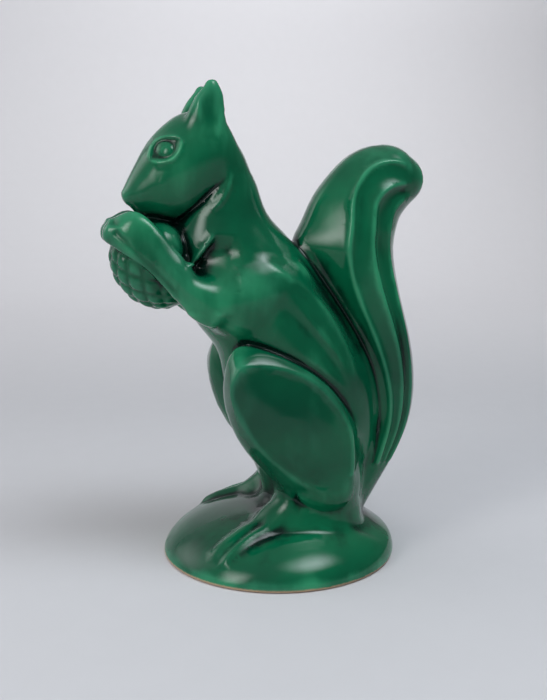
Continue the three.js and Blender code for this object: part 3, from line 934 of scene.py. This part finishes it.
def cut_hollows(c, outer):
    """Cuts the hollow, the foot recess, the coin hole and the slot, and levels the foot."""
    gx, gy, gz = c.x[:, None, None], c.y[None, :, None], c.z[None, None, :]
    radius = np.hypot(gx - AXIS_X, gy)
    c.carve(np.maximum(np.maximum(c.room, outer) + sizes().wall, FLOOR_TOP - gz), 1.0)
    c.carve(np.maximum(radius - RECESS_RADIUS, gz - RECESS_DEPTH), 1.0)
    c.carve(np.maximum(radius - sizes().hole_radius, np.abs(gz - 6) - 8), 0.6)
    c.carve(gz + np.zeros_like(radius), 1.6)
    halves = (SLOT_REACH, sizes().slot_width / 2, sizes().slot_length / 2)
    slot = zip((gx, gy, gz), SLOT_MIDDLE, halves)
    past = [np.abs(axis - middle) - half + SLOT_EDGE for axis, middle, half in slot]
    outside = np.sqrt(sum(np.maximum(p, 0) ** 2 for p in past))
    inside = np.minimum(np.maximum(np.maximum(past[0], past[1]), past[2]), 0)
    c.carve(outside + inside - SLOT_EDGE, 1.2)


def sample(field, places):
    """The field at places given in steps of the grid, by straight interpolation."""
    base = np.clip(np.floor(places).astype(int), 0, np.array(field.shape) - 2)
    share = (places - base).astype(np.float32)
    total = np.zeros(len(places), np.float32)
    for corner in range(8):
        bits = np.array([corner & 1, corner >> 1 & 1, corner >> 2 & 1])
        weight = np.prod(np.where(bits, share, 1 - share), axis=1)
        i, j, k = (base + bits).T
        total += weight * field[i, j, k]
    return total


class MONEYBOX_OT_fire(bpy.types.Operator):
    """Finish the clay, skin it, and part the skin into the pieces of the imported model"""

    bl_idname = "moneybox.fire"
    bl_label = "Fire and part"

    def execute(self, context):
        c = clay()
        c.smooth(1)
        for place in SMOOTHED:
            c.smooth(*place)
        model_side_details(c)
        c.smooth(*SMOOTHED_BREAST)
        model_face(c)
        outer = c.field.copy()
        cut_hollows(c, outer)
        c.smooth(1)
        points, corners, starts = self.skin(c)
        places = points / c.voxel - c.low
        slopes = np.gradient(c.field)
        for _ in range(2):
            normals = np.stack([sample(s, places) for s in slopes], 1)
            steepness = np.maximum(np.linalg.norm(normals, axis=1, keepdims=True), 1e-4)
            value = sample(c.field, places)[:, None]
            places = places - np.clip(value / steepness, -c.voxel, c.voxel) * normals / steepness
        normals = np.stack([sample(s, places) for s in slopes], 1)
        normals /= np.maximum(np.linalg.norm(normals, axis=1, keepdims=True), 1e-6)
        points = (places + c.low) * c.voxel
        values = {
            "pooling_and_painted_shading": self.pooling_and_painted_shading(outer, places, points[:, 2]),
            "bare": self.bare_clay(outer, places, points),
        }
        labels = self.part(c, outer, places, corners, starts)
        material = glaze_material()
        for index, name in enumerate(CLAY_NODES):
            self.make_piece(name, labels == index, points, normals, values, corners, starts, material)
        return {"FINISHED"}

    def skin(self, c):
        """Points of the clay's surface, and its faces as corners and where each face starts in them."""
        grid = openvdb.FloatGrid(BAND)
        grid.transform = openvdb.createLinearTransform(voxelSize=c.voxel)
        grid.gridClass = openvdb.GridClass.LEVEL_SET
        grid.copyFromArray(c.field, ijk=tuple(int(v) for v in c.low))
        points, triangles, quads = grid.convertToPolygons(isovalue=0.0, adaptivity=0.05)
        corners = np.concatenate([triangles[:, ::-1].ravel(), quads[:, ::-1].ravel()]).astype(np.int64)
        counts = np.concatenate([np.full(len(triangles), 3), np.full(len(quads), 4)])
        starts = np.concatenate([[0], np.cumsum(counts)])
        return points.astype(float), corners, starts

    def pooling_and_painted_shading(self, outer, places, height):
        """How dark or light the glaze is painted, from -1 to 1: glaze gathered in creases and thinning on
        ridges, painted shade in wide hollows, painted light on large bulges, darker on the mound and lighter
        just above the foot.
        """
        near = np.clip(self.blurred(outer, 2, places) / 0.8, -1, 1)
        # Painted shade: wide hollows are darkened.
        painted_hollow_shade = np.clip(self.blurred(outer, 5, places) / 2.2, -1, 0)
        # Painted light and shade: large bulges are lightened and wide hollows darkened.
        painted_form_shading = np.clip(self.blurred(outer, 9, places) / 3.0, -1, 1)
        # Darker over the lower figure and the mound, lighter just above the foot.
        lower_and_foot_tone = 0.6 * smoothstep(6, 2.5, height) - 0.3 * smoothstep(48, 16, height)
        return np.clip(near + 0.55 * painted_hollow_shade + 0.45 * painted_form_shading + lower_and_foot_tone, -1, 1)

    def blurred(self, outer, coarse, places):
        """The clay field at each point after a blur over a few steps of a coarser grid."""
        wide = np.ascontiguousarray(np.clip(outer[::coarse, ::coarse, ::coarse], -5, 5))
        for _ in range(3):
            for axis in range(3):
                wide = soften(wide, axis)
        return sample(wide, places / coarse)

    def bare_clay(self, outer, places, points):
        """Where the clay is left without glaze: the foot, the recess under it and the hollow."""
        inside = sample(outer, places) < -1.5
        foot = points[:, 2] < 1.3
        return (inside | foot).astype(np.float32)

    def part(self, c, outer, places, corners, starts):
        """The piece that each face belongs to: the form that it lies deepest in."""
        faces = len(starts) - 1
        counts = np.diff(starts)
        owner = np.repeat(np.arange(faces), counts)
        sums = [np.bincount(owner, places[corners, i], faces) for i in range(3)]
        middle = np.stack(sums, 1) / counts[:, None]
        at = np.clip(np.rint(middle).astype(int), 0, c.count - 1)
        deep = outer[at[:, 0], at[:, 1], at[:, 2]] < -2.0
        best = np.full(faces, 1e9)
        labels = np.zeros(faces, int)
        for index, name in enumerate(CLAY_NODES):
            first, block = c.forms[name]
            local = at + c.low - first
            inside = ((local >= 0) & (local < block.shape)).all(1)
            if name not in HOLLOW_NODES:
                inside &= ~deep
            value = np.full(faces, BAND)
            value[inside] = block[tuple(local[inside].T)]
            nearer = value < best
            best[nearer] = value[nearer]
            labels[nearer] = index
        return self.without_islands(labels, corners, starts)

    def without_islands(self, labels, corners, starts):
        """Gives small islands of a piece to the piece around them."""
        faces = len(labels)
        owner = np.repeat(np.arange(faces), np.diff(starts))
        after = np.arange(len(corners)) + 1
        ends = starts[1:] - 1
        after[ends] = starts[:-1]
        low = np.minimum(corners, corners[after])
        high = np.maximum(corners, corners[after])
        order = np.lexsort((high, low))
        same = (low[order][1:] == low[order][:-1]) & (high[order][1:] == high[order][:-1])
        first, second = owner[order][:-1][same], owner[order][1:][same]
        itself = np.arange(faces)
        for _ in range(4):
            votes = self.votes(itself, first, second, labels)
            votes[itself, labels] += 1.5
            labels = votes.argmax(1)
        for _ in range(3):
            group = self.groups(labels, first, second)
            small = np.bincount(group, minlength=faces)[group] < SMALL_ISLAND
            edge = labels[first] != labels[second]
            votes = self.votes(group, first[edge], second[edge], labels)
            has_votes = votes[group].sum(1) > 0
            labels = np.where(small & has_votes, votes[group].argmax(1), labels)
        return labels

    def votes(self, group, first, second, labels):
        """How often each group of faces meets each label across the edges between two rows of faces."""
        made = np.zeros((len(labels), len(CLAY_NODES)))
        np.add.at(made, (group[first], labels[second]), 1)
        np.add.at(made, (group[second], labels[first]), 1)
        return made

    def groups(self, labels, first, second):
        """The connected group of faces with one label that each face is in."""
        group = np.arange(len(labels))
        alike = labels[first] == labels[second]
        a, b = first[alike], second[alike]
        while True:
            lower = np.minimum(group[a], group[b])
            merged = group.copy()
            np.minimum.at(merged, a, lower)
            np.minimum.at(merged, b, lower)
            np.minimum.at(merged, group[a], lower)
            np.minimum.at(merged, group[b], lower)
            merged = merged[merged]
            if (merged == group).all():
                return group
            group = merged

    def make_piece(self, name, chosen, points, normals, values, corners, starts, material):
        """Makes one piece of the skin, with a lip that turns into the clay along its seams."""
        counts = np.diff(starts)
        if not chosen.any():
            raise RuntimeError(f"the skin has no face for {name}")
        used, own = np.unique(corners[np.repeat(chosen, counts)], return_inverse=True)
        faces = np.split(own, np.cumsum(counts[chosen])[:-1])
        place = points[used]
        facing = normals[used]
        carried = {key: value[used] for key, value in values.items()}
        lips = []
        for loop in seam_loops(faces):
            start, n = len(place), len(loop)
            place = np.concatenate([place, place[loop] - facing[loop] * LIP])
            facing = np.concatenate([facing, facing[loop]])
            carried = {key: np.concatenate([value, value[loop]]) for key, value in carried.items()}
            lips += [(loop[(i + 1) % n], loop[i], start + i, start + (i + 1) % n) for i in range(n)]
        rows = [face.tolist() for face in faces] + lips
        mesh = smooth_mesh("glazed_" + name, (place * MM).tolist(), rows, material)
        for key, value in carried.items():
            mesh.attributes.new(key, "FLOAT", "POINT").data.foreach_set("value", value.astype(np.float32))
        mesh.normals_split_custom_set_from_vertices(facing.tolist())
        show_piece("glazed_" + name, mesh, name, "figure")


def smooth_mesh(name, points, faces, material):
    """A smooth-shaded mesh in one material."""
    mesh = bpy.data.meshes.new(name)
    mesh.from_pydata(points, [], faces)
    mesh.polygons.foreach_set("use_smooth", np.ones(len(mesh.polygons), bool))
    mesh.materials.append(material)
    return mesh


def seam_loops(faces):
    """The closed rows of points along which a piece of skin ends."""
    onward = {}
    seen = set()
    for face in faces:
        row = face.tolist()
        seen.update(zip(row, row[1:] + row[:1]))
    for a, b in seen:
        if (b, a) not in seen:
            onward.setdefault(a, []).append(b)
    loops = []
    for start in sorted(onward):
        while onward[start]:
            loop = [start]
            here = onward[start].pop()
            while here != start:
                loop.append(here)
                here = onward[here].pop()
            loops.append(loop)
    return loops


def show_piece(name, mesh, node, body):
    """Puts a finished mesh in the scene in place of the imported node."""
    piece = bpy.data.objects.new(name, mesh)
    bpy.context.scene.collection.objects.link(piece)
    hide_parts(node)
    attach(piece, body)


class MONEYBOX_OT_stopper(bpy.types.Operator):
    """Mould the rubber stopper with its flange, its sealing ribs and its pull bar"""

    bl_idname = "moneybox.stopper"
    bl_label = "Stopper"

    def execute(self, context):
        low, high = STOPPER_LOW.z, STOPPER_HIGH.z
        under = low + PULL_BAR_HEIGHT
        outline = [(radius, under + height) for radius, height in STOPPER_SIDE]
        outline += [(radius, high + height) for radius, height in STOPPER_TOP]
        points, quads, triangles = turned(outline, 96)
        rows = points.tolist()
        faces = [tuple(int(v) for v in face) for face in [*quads, *triangles]]
        for bar_points, bar_faces in self.pull_bar(low, under):
            start = len(rows)
            rows += bar_points
            faces += [tuple(start + i for i in face) for face in bar_faces]
        places = [((x + AXIS_X) * MM, y * MM, z * MM) for x, y, z in rows]
        mesh = smooth_mesh("rubber_stopper", places, faces, rubber_material())
        mesh.set_sharp_from_angle(angle=math.radians(38))
        show_piece("rubber_stopper", mesh, "stopper", "plug")
        return {"FINISHED"}

    def pull_bar(self, low, under):
        """The pull bar with rounded ends, and seven grips across it."""
        yield self.rounded_bar(0, 11, 2, low + 0.25, under + 0.6)
        for grip in range(-3, 4):
            yield self.rounded_bar(grip * 2.6, 0.5, 1.75, low, low + 0.8)

    def rounded_bar(self, x, half_length, half_width, bottom, top):
        """A bar with round ends and a bevelled underside, as points and faces."""
        ends = np.linspace(-math.pi / 2, math.pi / 2, 9)
        radius = min(half_length, half_width)
        straight_x, straight_y = half_length - radius, half_width - radius
        right = [(straight_x + radius * math.cos(a), math.copysign(straight_y, a) + radius * math.sin(a))
                 for a in ends]
        outline = right + [(-px, -py) for px, py in right]
        n = len(outline)
        points = []
        for inset, z in ((0.25, bottom), (0, bottom + 0.3), (0, top)):
            shrink_x, shrink_y = 1 - inset / half_length, 1 - inset / half_width
            points += [(x + px * shrink_x, py * shrink_y, z) for px, py in outline]
        faces = [tuple(reversed(range(n))), tuple(range(2 * n, 3 * n))]
        for level in (0, n):
            for i in range(n):
                after = (i + 1) % n
                faces.append((level + i, level + after, level + n + after, level + n + i))
        return points, faces


def feed(socket, value):
    """Links a socket to another one, or gives it a plain value."""
    if isinstance(value, bpy.types.NodeSocket):
        socket.id_data.links.new(value, socket)
    else:
        socket.default_value = value


def node(tree, kind, **inputs):
    """Adds a shader node and feeds its inputs by name."""
    made = tree.nodes.new(kind)
    for name, value in inputs.items():
        feed(made.inputs[name.replace("_", " ")], value)
    return made


def remap(tree, value, low, high, to_low=0.0, to_high=1.0):
    """A smooth change of a value from one range to another."""
    ends = {"From_Min": low, "From_Max": high, "To_Min": to_low, "To_Max": to_high}
    made = node(tree, "ShaderNodeMapRange", Value=value, **ends)
    made.interpolation_type = "SMOOTHSTEP"
    return made.outputs["Result"]


def maths(tree, operation, first, second):
    """A sum, product or the like of two values."""
    made = tree.nodes.new("ShaderNodeMath")
    made.operation = operation
    feed(made.inputs[0], first)
    feed(made.inputs[1], second)
    return made.outputs["Value"]


def mix_colour(tree, share, first, second, blend="MIX"):
    """Mixes two colours, each a socket or a plain value."""
    made = tree.nodes.new("ShaderNodeMix")
    made.data_type = "RGBA"
    made.blend_type = blend
    for index, value in ((0, share), (6, first), (7, second)):
        feed(made.inputs[index], value)
    return made.outputs[2]


def shaded(colour, share):
    """A colour made darker or lighter."""
    return tuple(share * v for v in tuple(colour)[:3]) + (1,)


def fine_grain():
    """A shared pattern of fine specks, for bare clay, rubber and paper."""
    known = bpy.data.node_groups.get("fine_grain")
    if known:
        return known
    tree = bpy.data.node_groups.new("fine_grain", "ShaderNodeTree")
    for name, direction in (("Scale", "INPUT"), ("Speck", "OUTPUT"), ("Height", "OUTPUT")):
        tree.interface.new_socket(name, in_out=direction, socket_type="NodeSocketFloat")
    scale = tree.nodes.new("NodeGroupInput").outputs["Scale"]
    out = tree.nodes.new("NodeGroupOutput")
    place = tree.nodes.new("ShaderNodeTexCoord").outputs["Object"]
    clouds = node(tree, "ShaderNodeTexNoise", Vector=place, Scale=scale, Detail=5.0).outputs["Fac"]
    grains = node(tree, "ShaderNodeTexVoronoi", Vector=place, Scale=scale).outputs["Distance"]
    feed(out.inputs["Speck"], clouds)
    feed(out.inputs["Height"], maths(tree, "MULTIPLY", clouds, grains))
    return tree


def grain_in(tree, scale):
    """Outputs of the shared pattern at a scale."""
    made = tree.nodes.new("ShaderNodeGroup")
    made.node_tree = fine_grain()
    made.inputs["Scale"].default_value = scale
    return made.outputs


def attribute(tree, name):
    """The value that the mesh carries under a name."""
    made = tree.nodes.new("ShaderNodeAttribute")
    made.attribute_name = name
    return made.outputs["Fac"]


def new_material(name):
    """A material, its node tree and its shader's inputs."""
    material = bpy.data.materials.new(name)
    material.use_nodes = True
    return material, material.node_tree, material.node_tree.nodes["Principled BSDF"].inputs


def bump(tree, strength, distance, height):
    """The normal of a surface roughened by a height."""
    made = node(tree, "ShaderNodeBump", Strength=strength, Distance=distance, Height=height)
    return made.outputs["Normal"]


def glaze_material():
    """Green glaze that gathers dark in creases and thins on ridges, with painted shade in wide hollows and
    painted light on large bulges, darker towards the bottom, and stopping short of the foot.
    """
    colours = finish_colours()
    material, tree, shader = new_material("green_glaze")
    place = tree.nodes.new("ShaderNodeTexCoord").outputs["Object"]
    drawn = node(tree, "ShaderNodeMapping", Vector=place, Scale=(1, 1, 0.4)).outputs["Vector"]
    streaks = node(tree, "ShaderNodeTexNoise", Vector=drawn, Scale=70.0, Detail=3.0).outputs["Fac"]
    clouds = node(tree, "ShaderNodeTexNoise", Vector=place, Scale=17.0, Detail=4.0).outputs["Fac"]
    waves = node(tree, "ShaderNodeTexNoise", Vector=place, Scale=120.0, Detail=1.0).outputs["Fac"]
    bare = attribute(tree, "bare")
    shift = remap(tree, streaks, 0.25, 0.75, -0.28, 0.28)
    depth = maths(tree, "ADD", attribute(tree, "pooling_and_painted_shading"), shift)
    # Dark end: glaze gathered in creases and painted shade in wide hollows; pale end: glaze thinning on
    # ridges and painted light on large bulges.
    green = mix_colour(tree, remap(tree, depth, -0.85, -0.12), tuple(colours.pooled_glaze_and_painted_shade), tuple(colours.glaze))
    green = mix_colour(tree, remap(tree, depth, 0.08, 0.95, 0.0, 0.75), green, tuple(colours.thin_glaze_and_painted_light))
    cloudy = mix_colour(tree, remap(tree, clouds, 0.3, 0.7), (0.56, 0.6, 0.64, 1), (1.44, 1.36, 1.26, 1))
    green = mix_colour(tree, 1.0, green, cloudy, "MULTIPLY")
    speck = grain_in(tree, 900.0)["Speck"]
    biscuit = mix_colour(tree, speck, shaded(colours.biscuit, 0.72), tuple(colours.biscuit))
    gloss = remap(tree, streaks, 0.2, 0.8, 0.07, 0.16)
    feed(shader["Base Color"], mix_colour(tree, bare, green, biscuit))
    feed(shader["Roughness"], maths(tree, "MAXIMUM", gloss, remap(tree, bare, 0.2, 0.8, 0.0, 0.85)))
    feed(shader["Normal"], bump(tree, 0.12, 0.0006, waves))
    feed(shader["Specular IOR Level"], 0.31)
    return material


def rubber_material():
    """Matt moulded rubber with a fine grain."""
    material, tree, shader = new_material("moulded_rubber")
    grain = grain_in(tree, 1500.0)
    rubber = finish_colours().rubber
    worn = remap(tree, grain["Speck"], 0.35, 0.75)
    feed(shader["Base Color"], mix_colour(tree, worn, tuple(rubber), shaded(rubber, 1.8)))
    feed(shader["Roughness"], remap(tree, grain["Speck"], 0.2, 0.8, 0.5, 0.75))
    feed(shader["Normal"], bump(tree, 0.2, 0.0002, grain["Height"]))
    return material


def paper_material(colour):
    """Pale matt paper for the floor and the backdrop."""
    material, tree, shader = new_material("pale_paper")
    speck = grain_in(tree, 60.0)["Speck"]
    feed(shader["Base Color"], mix_colour(tree, speck, shaded(colour, 0.97), tuple(colour)))
    feed(shader["Roughness"], 0.9)
    feed(shader["Specular IOR Level"], 0.2)
    return material


class MONEYBOX_OT_stage(bpy.types.Operator):
    """Set the floor, the lamps and the camera"""

    bl_idname = "moneybox.stage"
    bl_label = "Stage"

    def execute(self, context):
        stage = context.scene.money_box_stage
        scene = context.scene
        scene.view_settings.view_transform = "Standard"
        scene.world = self.room(stage)
        self.sweep(stage)
        for name, place, size, share, *rest in LAMPS:
            self.lamp(name, place, size, stage.key * share, *rest)
        self.camera(scene, stage)
        return {"FINISHED"}

    def room(self, stage):
        """A pale room that is brightest above, to the left and behind the figure."""
        world = bpy.data.worlds.new("room")
        world.use_nodes = True
        tree = world.node_tree
        towards = tree.nodes.new("ShaderNodeVectorMath")
        towards.operation = "DOT_PRODUCT"
        tree.links.new(tree.nodes.new("ShaderNodeTexCoord").outputs["Generated"], towards.inputs[0])
        towards.inputs[1].default_value = Vector((-0.75, 0.45, 0.5)).normalized()
        strength = remap(tree, towards.outputs["Value"], -0.45, 0.7, 0.4 * stage.room, 1.5 * stage.room)
        tree.links.new(strength, tree.nodes["Background"].inputs["Strength"])
        tree.nodes["Background"].inputs["Color"].default_value = (0.95, 0.97, 1, 1)
        return world

    def sweep(self, stage):
        """A pale floor that curves up into a backdrop."""
        turns = np.linspace(0.1, math.pi / 2, 16)
        outline = [(-2.5, 0), (0.9, 0)]
        outline += [(0.9 + 0.5 * math.sin(turn), 0.5 - 0.5 * math.cos(turn)) for turn in turns]
        outline += [(1.4, 0.85)]
        points = [(x, y, z) for y, z in outline for x in (-4, 4 if z == 0 else 1.15)]
        faces = [(2 * i, 2 * i + 1, 2 * i + 3, 2 * i + 2) for i in range(len(outline) - 1)]
        mesh = smooth_mesh("sweep", points, faces, paper_material(stage.floor))
        sweep = bpy.data.objects.new("sweep", mesh)
        bpy.context.scene.collection.objects.link(sweep)

    def lamp(self, name, place, size, power, colour, aim, spread):
        """An area lamp that faces a point."""
        data = bpy.data.lights.new(name, "AREA")
        data.shape = "RECTANGLE"
        data.size, data.size_y = size
        data.energy = power
        data.color = colour
        data.spread = math.radians(spread)
        self.soft_edges(data)
        lamp = bpy.data.objects.new(name, data)
        lamp.location = place
        lamp.rotation_euler = (Vector(aim) - Vector(place)).to_track_quat("-Z", "Y").to_euler()
        bpy.context.scene.collection.objects.link(lamp)

    def soft_edges(self, data):
        """Lets a lamp's light fall off towards its edges, as in a soft box."""
        data.use_nodes = True
        tree = data.node_tree
        across = tree.nodes.new("ShaderNodeSeparateXYZ")
        tree.links.new(tree.nodes.new("ShaderNodeNewGeometry").outputs["Parametric"], across.inputs["Vector"])
        product = 4.0
        for axis in ("X", "Y"):
            for ends in ((0.0, 0.5), (0.5, 1.0, 1.0, 0.0)):
                product = maths(tree, "MULTIPLY", remap(tree, across.outputs[axis], *ends), product)
        feed(tree.nodes["Emission"].inputs["Strength"], product)

    def camera(self, scene, stage):
        """The camera, at the place and with the lens of the photograph."""
        data = bpy.data.cameras.new("camera")
        data.lens = stage.lens
        data.sensor_width = 36
        data.clip_end = 50
        camera = bpy.data.objects.new("camera", data)
        camera.location = Vector(CAMERA_PLACE) * MM
        level = math.cos(CAMERA_PITCH)
        look = Vector((CAMERA_HEADING[0] * level, CAMERA_HEADING[1] * level, -math.sin(CAMERA_PITCH)))
        camera.rotation_euler = look.to_track_quat("-Z", "Y").to_euler()
        scene.collection.objects.link(camera)
        scene.camera = camera


class MONEYBOX_PT_panel(bpy.types.Panel):
    """Lists the steps that build the money box"""

    bl_idname = "MONEYBOX_PT_panel"
    bl_label = "Money Box"
    bl_space_type = "VIEW_3D"
    bl_region_type = "UI"
    bl_category = "Money Box"

    def draw(self, context):
        for step in STEPS:
            self.layout.operator(step.bl_idname)


GROUPS = (MoneyBoxSizes, MoneyBoxFinish, MoneyBoxStage)
STEPS = (
    MONEYBOX_OT_plinth,
    MONEYBOX_OT_body,
    MONEYBOX_OT_feet,
    MONEYBOX_OT_haunches,
    MONEYBOX_OT_tail,
    MONEYBOX_OT_arms,
    MONEYBOX_OT_head,
    MONEYBOX_OT_ears,
    MONEYBOX_OT_pine_cone,
    MONEYBOX_OT_fire,
    MONEYBOX_OT_stopper,
    MONEYBOX_OT_stage,
)


def register():
    for group in GROUPS + STEPS + (MONEYBOX_PT_panel,):
        bpy.utils.register_class(group)
    bpy.types.Scene.money_box_sizes = bpy.props.PointerProperty(type=MoneyBoxSizes)
    bpy.types.Scene.money_box_finish = bpy.props.PointerProperty(type=MoneyBoxFinish)
    bpy.types.Scene.money_box_stage = bpy.props.PointerProperty(type=MoneyBoxStage)


def unregister():
    del bpy.types.Scene.money_box_stage
    del bpy.types.Scene.money_box_finish
    del bpy.types.Scene.money_box_sizes
    for group in reversed(GROUPS + STEPS + (MONEYBOX_PT_panel,)):
        bpy.utils.unregister_class(group)


def main():
    register()
    for step in STEPS:
        area, name = step.bl_idname.split(".")
        getattr(getattr(bpy.ops, area), name)()


if __name__ == "__main__":
    main()
